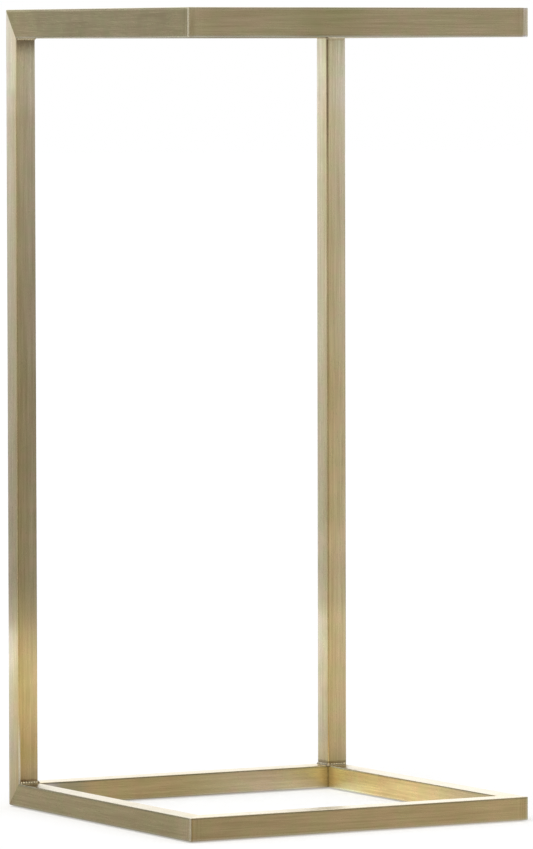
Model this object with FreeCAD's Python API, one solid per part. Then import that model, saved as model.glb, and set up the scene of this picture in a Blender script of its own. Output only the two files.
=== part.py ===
"""C shaped side table: a welded frame of mitred square tube with a glass pane dropped into its top.

The frame stands open at the front, so that it slides over the arm or the seat of a sofa. Two C shaped
side frames, each a base rail, a post and a top rail, are tied together by a front and a rear rail at
each level. The pane lies on bumpers, the bumpers lie on ledge bars inside the top frame, and four
push-in glides carry the base.

Millimetres. +X is the width, +Y the depth with the posts at the back, and +Z is up. The origin is on
the floor under the middle of the table.
"""

import FreeCAD, Part
import collections
import os

Vector = FreeCAD.Vector

# ------------------------------------------------------------------------- overall
table_width = 330.0             # over the outside of the two side frames
table_depth = 330.0             # from the open front to the back of the posts
table_height = 695.0            # from the floor to the top of the upper frame

# ------------------------------------------------------------------------- frame tube
tube_side = 19.0                # square tube of the posts, and plan width of the rails at both levels
base_rail_height = 20.0
top_rail_height = 25.0          # the top frame is made of a taller tube
tube_wall = 1.5
tube_edge_radius = 1.2          # long outside edges of every tube
front_corner_radius = 1.2       # upright edges of the mitred front corners, ground after welding
lower_corner_radius = 3.2       # outside corner of each side frame at the floor, ground after welding
upper_corner_radius = 2.2       # outside corner of each side frame at the top, ground after welding

# ------------------------------------------------------------------------- welds
foot_weld_leg = 2.4             # bead round the inner faces of a post's foot
head_weld_leg = 2.0             # fillet under the top rails at a post's head
ledge_weld_leg = 1.8            # tack welds between the ledge bars and the rails
ledge_weld_length = 18.0
ledge_weld_end_distance = 45.0  # from the end of a ledge bar to the middle of its tack weld

# ------------------------------------------------------------------------- glass pane and what carries it
pane_thickness = 5.0
pane_side_clearance = 1.0       # gap between the pane and the rails, all round
pane_recess = 0.5               # top of the pane below the top of the frame
pane_corner_radius = 3.0
pane_arris = 0.6                # ground edge of the pane
bumper_diameter = 7.0
bumper_thickness = 1.5
bumper_bevel = 0.3
bumper_corner_distance = 22.0   # from the inner corner of the top frame, along the side ledge
ledge_width = 10.0
ledge_thickness = 3.0

# ------------------------------------------------------------------------- glides
glide_lift = 1.0                # thickness of a glide's head, which holds the frame off the floor
glide_head_diameter = 10.0
glide_head_bevel = 0.3
glide_end_distance = 30.0       # from the front or the back of the base to a glide's axis
glide_stem_diameter = 4.6
glide_hole_clearance = 0.1      # round the stem, on the radius
glide_barb_overlap = 0.4        # how far the split tip reaches past the hole, on the radius
glide_barb_gap = 0.2            # between the barb and the inside of the tube's wall
glide_barb_height = 2.4
glide_tip_diameter = 3.2
glide_slot_width = 0.9          # the slot that lets the tip spring through the hole
glide_slot_floor = 0.4          # solid stem left between the head and the slot

# ------------------------------------------------------------------------- faces and levels that follow
half_width = table_width / 2
half_depth = table_depth / 2
inner_half_width = half_width - tube_side
front_rail_back = -half_depth + tube_side
post_front = half_depth - tube_side
base_bottom = glide_lift
base_top = base_bottom + base_rail_height
top_frame_bottom = table_height - top_rail_height
pane_top = table_height - pane_recess
pane_bottom = pane_top - pane_thickness
ledge_top = pane_bottom - bumper_thickness
ledge_bottom = ledge_top - ledge_thickness

beyond = table_width + table_depth + table_height   # cutters run this far, past the whole table

LEFT, RIGHT = -1, 1
FRONT, REAR = -1, 1
SIDES = {"left": LEFT, "right": RIGHT}
ENDS = {"front": FRONT, "rear": REAR}

# A level is one of the two square frames. Its outer face is the one that the side frames' outside
# corners lie on, its inner face looks into the C, and inward is the way from outer to inner along Z.
Level = collections.namedtuple("Level", "outer inner inward corner_radius")
LEVELS = {
    "base": Level(base_bottom, base_top, 1, lower_corner_radius),
    "top": Level(table_height, top_frame_bottom, -1, upper_corner_radius),
}


# ------------------------------------------------------------------------- shape helpers
def block(x_range, y_range, z_range):
    """A box between two values on each axis, given in either order."""
    ranges = [sorted(pair) for pair in (x_range, y_range, z_range)]
    return Part.makeBox(*[high - low for low, high in ranges], Vector(*[low for low, high in ranges]))


def edges_along(shape, axis):
    """The straight edges of a shape that run along the axis numbered 0, 1 or 2."""
    found = []
    for edge in shape.Edges:
        run = edge.Vertexes[-1].Point - edge.Vertexes[0].Point
        if abs(abs(run[axis]) - run.Length) < Part.Precision.confusion():
            found.append(edge)
    return found


def edges_at_height(shape, height):
    """The edges of a shape that lie in one level plane."""
    def level(edge):
        return all(abs(vertex.Z - height) < Part.Precision.confusion() for vertex in edge.Vertexes)
    return [edge for edge in shape.Edges if level(edge)]


def rounded_bar(axis, x_range, y_range, z_range, radius=tube_edge_radius):
    """A solid bar with its edges along one axis rounded."""
    bar = block(x_range, y_range, z_range)
    return bar.makeFillet(radius, edges_along(bar, axis))


def tube(axis, x_range, y_range, z_range):
    """An open-ended rectangular tube along one axis."""
    ranges = [x_range, y_range, z_range]
    bore = [(min(pair) + tube_wall, max(pair) - tube_wall) for pair in ranges]
    bore[axis] = ranges[axis]
    return rounded_bar(axis, *ranges).cut(block(*bore))


def prism(plane, outline, start, end):
    """An outline of (u, v) points in the YZ, XZ or XY plane, extruded along the third axis."""
    place = {
        "YZ": lambda u, v: Vector(start, u, v),
        "XZ": lambda u, v: Vector(u, start, v),
        "XY": lambda u, v: Vector(u, v, start),
    }[plane]
    normal = {"YZ": Vector(1, 0, 0), "XZ": Vector(0, 1, 0), "XY": Vector(0, 0, 1)}[plane]
    points = [place(u, v) for u, v in outline]
    return Part.Face(Part.makePolygon(points + points[:1])).extrude(normal * (end - start))


def mitre_cutter(plane, outer, inner, waste):
    """Everything on the waste side of the plane through the outer and the inner corner of a joint."""
    run = Vector(inner[0] - outer[0], inner[1] - outer[1], 0).normalize() * beyond
    aside = Vector(-run.y, run.x, 0)
    if aside.dot(Vector(waste[0] - outer[0], waste[1] - outer[1], 0)) < 0:
        aside = -aside
    corner = Vector(outer[0], outer[1], 0)
    points = [corner - run, corner + run, corner + run + aside, corner - run + aside]
    return prism(plane, [(point.x, point.y) for point in points], -beyond, beyond)


def corner_rounder(plane, corner, inward, radius):
    """What grinding a radius on the outside corner of a mitre joint takes off."""
    centre = (corner[0] + inward[0] * radius, corner[1] + inward[1] * radius)
    outside = (corner[0] - inward[0] * radius, corner[1] - inward[1] * radius)
    square = [outside, (centre[0], outside[1]), centre, (outside[0], centre[1])]
    disc = Part.makeCylinder(radius, 2 * beyond, Vector(0, 0, -beyond))
    if plane == "YZ":
        disc = disc.rotated(Vector(), Vector(0, 1, 0), 90).translated(Vector(0, *centre))
    else:
        disc = disc.translated(Vector(*centre, 0))
    return prism(plane, square, -beyond, beyond).cut(disc)


def cut_all(shape, cutters):
    """A shape with every cutter taken off."""
    for cutter in cutters:
        shape = shape.cut(cutter)
    return shape


# ------------------------------------------------------------------------- frame
def side_range(side):
    """The inner and the outer face of one side frame, along X."""
    return side * inner_half_width, side * half_width


def end_face(end):
    """The inner face of the front or the rear rail, along Y."""
    return front_rail_back if end == FRONT else post_front


def back_mitre(level, waste_y, waste_z):
    """The mitre between a post and a side rail, and the radius on its outside corner."""
    outer = (half_depth, level.outer)
    inner = (post_front, level.inner)
    return [
        mitre_cutter("YZ", outer, inner, (waste_y, waste_z)),
        corner_rounder("YZ", outer, (-1, level.inward), level.corner_radius),
    ]


def front_mitre(side, waste_x, waste_y):
    """The mitre between a side rail and a front rail, and the radius on its upright edge."""
    outer = (side * half_width, -half_depth)
    inner = (side * inner_half_width, front_rail_back)
    return [
        mitre_cutter("XY", outer, inner, (waste_x, waste_y)),
        corner_rounder("XY", outer, (-side, 1), front_corner_radius),
    ]


def post(side):
    """The upright of one side frame, mitred into the base rail and the top rail."""
    upright = tube(2, side_range(side), (post_front, half_depth), (base_bottom, table_height))
    for level in LEVELS.values():
        upright = cut_all(upright, back_mitre(level, post_front, level.outer))
    return upright


def side_rail(side, level):
    """A side rail of either level, mitred to its post at the back and to the front rail."""
    rail = tube(1, side_range(side), (-half_depth, half_depth), (level.outer, level.inner))
    rail = cut_all(rail, back_mitre(level, half_depth, level.inner))
    return cut_all(rail, front_mitre(side, side * inner_half_width, -half_depth))


def front_rail(level):
    """The front rail of either level, mitred at both ends."""
    rail = tube(0, (-half_width, half_width), (-half_depth, front_rail_back), (level.outer, level.inner))
    for side in SIDES.values():
        rail = cut_all(rail, front_mitre(side, side * half_width, front_rail_back))
    return rail


def rear_rail(level):
    """The rear rail of either level, butted between the two side frames."""
    across = (-inner_half_width, inner_half_width)
    return tube(0, across, (post_front, half_depth), (level.outer, level.inner))


def drilled(rail, side):
    """A base side rail with the holes for its glides in the lower wall."""
    radius = glide_stem_diameter / 2 + glide_hole_clearance
    for end in ENDS.values():
        x, y = glide_axis(side, end)
        rail = rail.cut(Part.makeCylinder(radius, base_bottom + base_rail_height / 2, Vector(x, y, 0)))
    return rail


# ------------------------------------------------------------------------- welds
def post_weld(side, level, leg):
    """The fillet round the two inner faces of a post, where it meets the rails of one level.

    The bead is the post's outline grown by the leg and bevelled to nothing at the leg's height, less
    the post and the rails. It also fills the hollow between the rails' rounded edges.
    """
    x_inner, x_outer = side_range(side)
    tip = level.inner + level.inward * leg
    root = level.inner - level.inward * tube_edge_radius
    grown = rounded_bar(
        2,
        (x_inner - side * leg, x_outer + side * leg),
        (post_front - leg, half_depth + leg),
        (root, tip),
        tube_edge_radius + leg,
    )
    bead = grown.makeChamfer(leg, edges_at_height(grown, tip))
    bead = cut_all(bead, [
        rounded_bar(2, side_range(side), (post_front, half_depth), (-beyond, beyond)),
        rounded_bar(1, side_range(side), (-beyond, beyond), (level.outer, level.inner)),
        rounded_bar(0, (-beyond, beyond), (post_front, half_depth), (level.outer, level.inner)),
    ])
    kept = block(
        (x_inner - side * 2 * leg, x_outer - side * tube_edge_radius),
        (post_front - 2 * leg, half_depth - tube_edge_radius),
        (root, tip),
    )
    return bead.common(kept)


def tack_outline(face, away):
    """Triangle in the corner between a rail's inner face and the underside of its ledge bar."""
    return [
        (face, ledge_bottom),
        (face + away * ledge_weld_leg, ledge_bottom),
        (face, ledge_bottom - ledge_weld_leg),
    ]


def ledge_tack_welds():
    """Two short fillets under each ledge bar, against the inside of its rail."""
    side_middle = post_front - ledge_weld_end_distance
    cross_middle = inner_half_width - ledge_width - ledge_weld_end_distance
    half_length = ledge_weld_length / 2
    welds = []
    for near in (-1, 1):
        for side in SIDES.values():
            middle = near * side_middle
            outline = tack_outline(side * inner_half_width, -side)
            welds.append(prism("XZ", outline, middle - half_length, middle + half_length))
        for end in ENDS.values():
            middle = near * cross_middle
            outline = tack_outline(end_face(end), -end)
            welds.append(prism("YZ", outline, middle - half_length, middle + half_length))
    return Part.makeCompound(welds)


# ------------------------------------------------------------------------- pane and what carries it
def side_ledge(side):
    """A flat bar along the inside of a top side rail, over the whole opening."""
    x_range = (side * inner_half_width, side * (inner_half_width - ledge_width))
    return block(x_range, (front_rail_back, post_front), (ledge_bottom, ledge_top))


def cross_ledge(end):
    """A flat bar along the inside of the front or the rear top rail, between the side ledges."""
    reach = inner_half_width - ledge_width
    y_range = (end_face(end), end_face(end) - end * ledge_width)
    return block((-reach, reach), y_range, (ledge_bottom, ledge_top))


def bumper(side, end):
    """A clear round bumper between a side ledge and the pane."""
    x = side * (inner_half_width - ledge_width / 2)
    y = end_face(end) - end * bumper_corner_distance
    disc = Part.makeCylinder(bumper_diameter / 2, bumper_thickness, Vector(x, y, ledge_top))
    rims = edges_at_height(disc, ledge_top) + edges_at_height(disc, pane_bottom)
    return disc.makeChamfer(bumper_bevel, rims)


def glass_pane():
    """The pane, with rounded corners and ground edges."""
    reach = inner_half_width - pane_side_clearance
    y_range = (front_rail_back + pane_side_clearance, post_front - pane_side_clearance)
    pane = rounded_bar(2, (-reach, reach), y_range, (pane_bottom, pane_top), pane_corner_radius)
    rims = edges_at_height(pane, pane_bottom) + edges_at_height(pane, pane_top)
    return pane.makeChamfer(pane_arris, rims)


# ------------------------------------------------------------------------- glides
def glide_axis(side, end):
    """Where a glide's axis crosses the floor: on the middle line of a base side rail."""
    return side * (half_width - tube_side / 2), end * (half_depth - glide_end_distance)


def glide(side, end):
    """A push-in glide: a head under the rail, a stem through its wall and a split barb inside."""
    head = glide_head_diameter / 2
    stem = glide_stem_diameter / 2
    barb = stem + glide_hole_clearance + glide_barb_overlap
    barb_bottom = base_bottom + tube_wall + glide_barb_gap
    tip = barb_bottom + glide_barb_height
    profile = [
        (0, 0),
        (head - glide_head_bevel, 0),
        (head, glide_head_bevel),
        (head, glide_lift),
        (stem, glide_lift),
        (stem, barb_bottom),
        (barb, barb_bottom),
        (glide_tip_diameter / 2, tip),
        (0, tip),
    ]
    outline = [Vector(radius, 0, height) for radius, height in profile]
    body = Part.Face(Part.makePolygon(outline + outline[:1])).revolve(Vector(), Vector(0, 0, 1), 360)
    half_slot = glide_slot_width / 2
    slot = block((-half_slot, half_slot), (-head, head), (glide_lift + glide_slot_floor, 2 * tip))
    return body.cut(slot).translated(Vector(*glide_axis(side, end), 0))


# ------------------------------------------------------------------------- all pieces
def build_table():
    """Every piece of the table by its name."""
    pieces = {
        "glass_pane": glass_pane(),
        "ledge_tack_welds": ledge_tack_welds(),
    }
    for side_name, side in SIDES.items():
        pieces[f"{side_name}_post"] = post(side)
        pieces[f"base_{side_name}_rail"] = drilled(side_rail(side, LEVELS["base"]), side)
        pieces[f"top_{side_name}_rail"] = side_rail(side, LEVELS["top"])
        pieces[f"{side_name}_foot_weld"] = post_weld(side, LEVELS["base"], foot_weld_leg)
        pieces[f"{side_name}_head_weld"] = post_weld(side, LEVELS["top"], head_weld_leg)
        pieces[f"ledge_{side_name}"] = side_ledge(side)
        for end_name, end in ENDS.items():
            pieces[f"bumper_{end_name}_{side_name}"] = bumper(side, end)
            pieces[f"glide_{end_name}_{side_name}"] = glide(side, end)
    for level_name, level in LEVELS.items():
        pieces[f"{level_name}_front_rail"] = front_rail(level)
        pieces[f"{level_name}_rear_rail"] = rear_rail(level)
    for end_name, end in ENDS.items():
        pieces[f"ledge_{end_name}"] = cross_ledge(end)
    return pieces


def main():
    """Write one STEP file for each piece."""
    os.makedirs("parts", exist_ok=True)
    for name, shape in build_table().items():
        shape.exportStep(f"parts/{name}.step")


if __name__ == "__main__":
    main()
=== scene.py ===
"""Looks of the C shaped side table: brushed brass tube, weld beads, glass, bumpers, glides and studio.

Metres, in the frame of the packed model: +X is the width, +Y the depth with the posts at the back,
+Z is up, and the origin is on the floor under the middle of the table.
"""

import math

import bmesh
import bpy
from bpy.props import FloatProperty, FloatVectorProperty, PointerProperty
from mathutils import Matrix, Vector, noise


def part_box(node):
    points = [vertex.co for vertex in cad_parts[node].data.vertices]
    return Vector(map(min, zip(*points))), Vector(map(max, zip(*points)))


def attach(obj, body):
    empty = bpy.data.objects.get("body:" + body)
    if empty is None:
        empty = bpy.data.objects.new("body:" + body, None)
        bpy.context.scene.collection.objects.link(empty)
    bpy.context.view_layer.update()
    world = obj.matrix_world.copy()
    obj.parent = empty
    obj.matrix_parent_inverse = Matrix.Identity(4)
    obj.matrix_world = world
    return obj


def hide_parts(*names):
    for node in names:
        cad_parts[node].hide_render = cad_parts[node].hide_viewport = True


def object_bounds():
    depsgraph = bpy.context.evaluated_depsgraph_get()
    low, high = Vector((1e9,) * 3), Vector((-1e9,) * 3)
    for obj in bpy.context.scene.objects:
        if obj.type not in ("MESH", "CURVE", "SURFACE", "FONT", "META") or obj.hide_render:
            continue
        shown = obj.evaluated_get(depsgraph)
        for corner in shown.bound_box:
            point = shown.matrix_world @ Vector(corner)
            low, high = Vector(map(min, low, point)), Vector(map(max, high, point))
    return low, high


bl_info = {
    "name": "C Side Table Looks",
    "version": (1, 0, 0),
    "blender": (4, 5, 0),
    "location": "3D View > Sidebar > Side Table",
    "description": "Brushed brass, rippled weld beads, glass, trim and a plain studio for the side table",
    "category": "Object",
}

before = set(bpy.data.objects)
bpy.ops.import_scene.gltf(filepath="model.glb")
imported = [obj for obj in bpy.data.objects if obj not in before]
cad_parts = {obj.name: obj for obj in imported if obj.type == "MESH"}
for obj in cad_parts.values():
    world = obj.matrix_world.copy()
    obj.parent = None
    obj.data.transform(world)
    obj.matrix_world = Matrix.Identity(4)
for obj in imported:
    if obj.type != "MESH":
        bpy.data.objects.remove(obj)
cad_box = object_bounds()
BODY = "root"
MM = 0.001

SIDES = {"left": -1, "right": 1}
CORNERS = ("front_left", "front_right", "rear_left", "rear_right")
X_AXIS, Y_AXIS, Z_AXIS = 0, 1, 2
AXIS_NAMES = "XYZ"
LEDGES = {"left": Y_AXIS, "right": Y_AXIS, "front": X_AXIS, "rear": X_AXIS}
BLACK = (0, 0, 0)
WHITE = (1, 1, 1)

# ---- tones of the tubes, with painted light
# The tubes: the grain's axis, the tone with painted light and shade in it, and the tone of the face toward
# the middle, with painted reflection in it.
TUBES = {
    "left_post": (Z_AXIS, (0.63, 0.54, 0.365), (0.485, 0.395, 0.235)),
    "right_post": (Z_AXIS, (0.80, 0.695, 0.46), (0.85, 0.685, 0.40)),
    "base_left_rail": (Y_AXIS, (0.49, 0.395, 0.205), (0.58, 0.45, 0.24)),
    "base_right_rail": (Y_AXIS, (0.64, 0.52, 0.30), (0.93, 0.70, 0.305)),
    "base_front_rail": (X_AXIS, (0.58, 0.445, 0.232), (0.62, 0.48, 0.25)),
    "base_rear_rail": (X_AXIS, (0.58, 0.47, 0.27), (0.39, 0.298, 0.148)),
    "top_left_rail": (Y_AXIS, (0.36, 0.30, 0.163), (0.48, 0.40, 0.24)),
    "top_right_rail": (Y_AXIS, (0.50, 0.42, 0.25), (0.48, 0.40, 0.24)),
    "top_front_rail": (X_AXIS, (0.605, 0.505, 0.318), (0.52, 0.43, 0.26)),
    "top_rear_rail": (X_AXIS, (0.54, 0.45, 0.27), (0.52, 0.43, 0.26)),
}

# Painted reflections and shade along a rail, where its tone changes along it: on its inner face or not, from
# where to where, and the tone that it reaches.
LIGHT_ALONG_RAILS = {
    "base_rear_rail": (
        (True, -0.02, 0.10, (0.52, 0.43, 0.28)),
        (True, 0.085, 0.115, (0.58, 0.485, 0.30)),
        (True, -0.088, -0.112, (0.30, 0.265, 0.155)),
        (True, -0.120, -0.137, (0.27, 0.26, 0.28)),
    ),
    "base_left_rail": (
        (False, -0.132, -0.160, (0.56, 0.45, 0.255)),
    ),
    "base_right_rail": (
        (True, 0.07, 0.045, (0.83, 0.63, 0.28)),
        (True, 0.01, -0.115, (0.52, 0.42, 0.225)),
        (True, 0.06, 0.12, (1.0, 0.88, 0.48)),
    ),
    "base_front_rail": (
        (False, -0.165, 0.165, (0.76, 0.575, 0.295)),
        (False, -0.1605, -0.1635, (0.46, 0.33, 0.14)),
        (False, 0.1610, 0.1640, (0.80, 0.69, 0.42)),
    ),
    "top_left_rail": (
        (False, 0.08, 0.15, (0.41, 0.335, 0.175)),
    ),
    "top_front_rail": (
        (False, -0.135, -0.160, (0.66, 0.55, 0.355)),
        (False, -0.070, -0.040, (0.53, 0.46, 0.262)),
        (False, -0.020, 0.020, (0.605, 0.505, 0.318)),
        (False, 0.1590, 0.1615, (0.90, 0.81, 0.66)),
    ),
}

# How far the upward face of each base rail takes a painted pale reflection.
TOP_REFLECTION = {
    "base_left_rail": 0.56, "base_right_rail": 0.79, "base_front_rail": 1.0, "base_rear_rail": 0.80,
}

# How strongly each kind of rail takes a painted cool reflection along its edges, a painted sheen along its
# upper ones, and a painted highlight at its outer corners.
EDGE_REFLECTION = {"base": 1.28, "top_side": 1.13, "top_end": 1.0}
UPPER_EDGE_SHEEN = {"top_side": 1.4, "top_end": 1.0}
CORNER_HIGHLIGHT = {"base": 0.70, "top_side": 0.95, "top_end": 0.95}

# How much painted sheen and painted shade each post takes at its head, painted gold reflection and painted
# shade at its foot, painted shade in a band above that and a painted highlight at its edges, how dark the
# line along its inner corner is, how bright the painted highlight on its front outer edge is at the foot,
# and how much painted shade it takes above the foot's bead, as a band and as a line.
POSTS = {
    "left_post": {
        "painted_sheen": 0.5, "head_shade": 0.66, "painted_gold_reflection": 0.90, "shaded": 0.0, "calm": 0.09, "painted_highlight": 0.35,
        "dark_edge_line": 0.10, "glint": 0.95, "foot_shade": 0.42, "line_shade": 0.85},
    "right_post": {
        "painted_sheen": 0.92, "head_shade": 0.12, "painted_gold_reflection": 0.44, "shaded": 0.16, "calm": 0.15, "painted_highlight": 0.05,
        "dark_edge_line": 1.0, "glint": 0.0, "foot_shade": 0.16, "line_shade": 0.60},
}

# Heights on the posts between which a mask grows from none to all, or between two strengths that follow.
HEIGHTS = {
    "foot": (0.21, 0.10),
    "off_floor": (0.025, 0.09),
    "sheen_band": (0.36, 0.42, 0.0, 0.28),
    "head_sheen_band": (0.595, 0.635, 0.0, 0.76),
    "front_sheen_band": (0.44, 0.58, 0.0, 0.35),
    "pale_from": (0.095, 0.130),
    "pale_to": (0.165, 0.148),
    "calm_from": (0.150, 0.172),
    "calm_to": (0.225, 0.195),
    "warm_reflection": (0.075, 0.045),
    "floor_reflection": (0.050, 0.030),
    "highlight_foot": (0.16, 0.08, 0.0, 0.3),
    "highlight_head": (0.60, 0.67),
    "faint_edge_line": (0.05, 0.25, 0.0, 0.30),
    "strong_edge_line": (0.53, 0.61, 0.0, 0.50),
    "glint": (0.084, 0.045),
}

# Marks at the corners and the welds: how far each reaches, and how ragged it is.
MARKS = {
    "head_shade_mark": (0.017, 0.3),
    "foot_shade_mark": (0.022, 0.3),
    "line": (0.0022, 0.9),
    "dark_edge_line": (0.0024, 0.2),
    "glint": (0.0015, 0.2),
    "glow": (0.024, 0.3),
    "corner_shade": (0.015, 0.3),
    "crease_shade": (0.0016, 0.4),
    "corner": (0.0020, 0.2),
    "turned": (0.016, 0.5),
}

# Strengths of what is laid over the tones.
STRENGTHS = {
    "side_gold_reflection": 0.45, "side_sheen_band": 0.80, "outer_sheen_band": 0.5, "warm_reflection_share": 0.7, "dark_edge_line": 1.35,
    "glow": 0.30, "corner_shade": 0.36, "crease_shade": 0.38,
}

STREAK_SHARE = 0.75  # of the brushing's tone, where the clouds have the rest
STROKE_CONTRAST = 1.6  # of the upright strokes at the dressed corners
HAIRLINE_ROUGHNESS, HAZE_ROUGHNESS, EDGE_POLISH = 0.10, 0.06, 0.08
FACE_FADE = (0.2 * MM, 0.9 * MM)  # depths between which a face gives way to the one beside it
LINE_RISE = 0.5 * MM  # the line of painted shade above a foot's bead
GLINT_INSET = 0.8 * MM  # the painted highlight line, from the outer face of a post
SEED_STEP = 7  # from one tube's brushing to the next

# ---- shape of the beads
BEAD_SHADE_ATTRIBUTE = "bead_shade"  # mesh attribute: the painted shade on a bead, 1 between its ripples

# Height of a bead's ripples as a share, how far its width wanders, the size of its second leg, how much
# painted shade lies over all of it, and how much painted shade lies in its valleys, at its toes and on its
# upper side.
FOOT_BEAD = {"ripple": 1.0, "wander": 0.10, "second_size": 1.0, "haze": 0.0}
HEAD_BEAD = {"ripple": 0.3, "wander": 0.04, "second_size": 0.35, "haze": 0.15, "painted_shade": 0.2}
BEADS = {
    "left_foot": {**FOOT_BEAD, "painted_shade": 0.9}, "right_foot": {**FOOT_BEAD, "painted_shade": 0.55},
    "left_head": HEAD_BEAD, "right_head": HEAD_BEAD,
}
TACK = {"ripple": 1.0, "wander": 0.12, "haze": 0.0, "painted_shade": 0.7}
BEAD_SPREAD = 1.1  # the widest place of a wandering bead, in legs
ARRIS = 1.2 * MM  # radius of a post's corner where the bead turns
TURN_STEPS = 12  # cuts round that corner
POST_CUT, TACK_CUT = 0.16 * MM, 0.2 * MM  # from one cut to the next
POST_SINK, TACK_SINK = 0.6 * MM, 0.2 * MM  # how far a bead goes into the tubes
POST_TAPER, TACK_TAPER = 0.4, 1.4  # length of an end's taper, in legs
TURN_SHADE = 0.55  # painted shade on the bead at the post's corner
TURN_MARGIN = 0.3 * MM
WAVER_SCALES = (420, 90, 50)  # how fast a bead's width wanders along it, and with X and Z
PROFILE_STEPS = 10  # faces across a bead
CURL = 0.35  # how far a ripple trails at the toes, in pitches
MEAN_SCALLOP = 0.6  # height of a ripple that stays at the bead's crown
CROWN_POWER = 0.7
TOE_WIDTH, NEAR_TOE, TOE_SHADE = 0.4, 0.55, 0.8  # of the painted shade at the toes, less on the first leg's
# painted shade in the valleys between a bead's ripples
VALLEY_SHADE = 0.85
SHADED_SIDE_FROM, SHADED_SIDE_FADE = 0.38, 0.22  # where across the bead its side of painted shade begins, and how softly
LEAST_TAPER = 0.04

LEDGE_EDGE = 0.35 * MM  # radius of a ledge bar's edges
LEDGE_EDGE_STEPS = 4

# ---- room and floor in reflections
PALE_WALL = Vector((-0.49, 0.87, 0.0))  # the way to the studio's pale wall
BACKDROP = Vector((0.47, 0.83, 0.30))  # the way to the backdrop behind the table

# Between which shares of a direction, or rises of it, each part of the room shows.
ROOM = {"pale": (-0.7, 0.8), "behind": (0.62, 0.88), "above": (0.03, 0.17), "overhead": (0.72, 0.92)}

# Distances on the floor, toward the pale wall or out from the middle, and any strengths.
FLOOR = {
    "far": (-2.0, 2.0),
    "farthest": (2.5, 10.0, 0.0, 0.15),
    "dip_from": (1.8, 2.3),
    "dip_to": (4.6, 3.0),
    "pool_end": (1.2, 1.7),
    "strip_from": (0.95, 1.45),
    "strip_to": (2.21, 1.81),
}
POOL_WIDTH = 0.98  # where the floor round the base is brightest
INNER_FADE = 0.02  # how far inside the base its bright floor starts to fade
DIP_DEPTH = -0.30
FLOOR_GREY = (0.66, 0.66, 0.66)
FLOOR_GLOW = 0.37  # what the grey floor lacks to read as white
FLOOR_RADIUS = 40.0
FLOOR_SEGMENTS = 96

LAMP_ANGLE = math.radians(60)
LAMP_STRENGTH = 1.1
LAMP_WAY = Vector((0.45, 0.25, -1.0))
CAMERA_TARGET = Vector((0.0011, -0.0006, 0.337))
CAMERA_ROLL = -0.0021
SENSOR_WIDTH = 36.0

# ---- places read from the frame
post_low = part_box("right_post")[0]
inner_half_width = post_low.x
post_front = post_low.y
half_width, half_depth = cad_box[1].x, cad_box[1].y
tube_side = half_width - inner_half_width
base_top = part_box("base_rear_rail")[1].z
foot_bead_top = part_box("left_foot_weld")[1].z
top_frame_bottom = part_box("top_rear_rail")[0].z
floor_level = cad_box[0].z


# ---- settings
def colour_field(name, description, default, highest=1):
    """A colour that a user may change."""
    return FloatVectorProperty(
        name=name, description=description, default=default, subtype="COLOR", size=3, min=0, max=highest)


def factor_field(name, where, default):
    """A colour that a tone is multiplied by in some places."""
    return colour_field(name, f"What the tone is multiplied by {where}", default, highest=3)


def share_field(name, description, default):
    """A share, from none to all."""
    return FloatProperty(
        name=name, description=description, default=default, subtype="FACTOR", min=0, max=1)


def length_field(name, description, default):
    """A length."""
    return FloatProperty(
        name=name, description=description, default=default, subtype="DISTANCE", min=0.0001)


def brightness_field(name, place, default):
    """How bright a part of the studio is in reflections."""
    return FloatProperty(
        name=name, description=f"Brightness in reflections of {place}", default=default, min=0)


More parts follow.
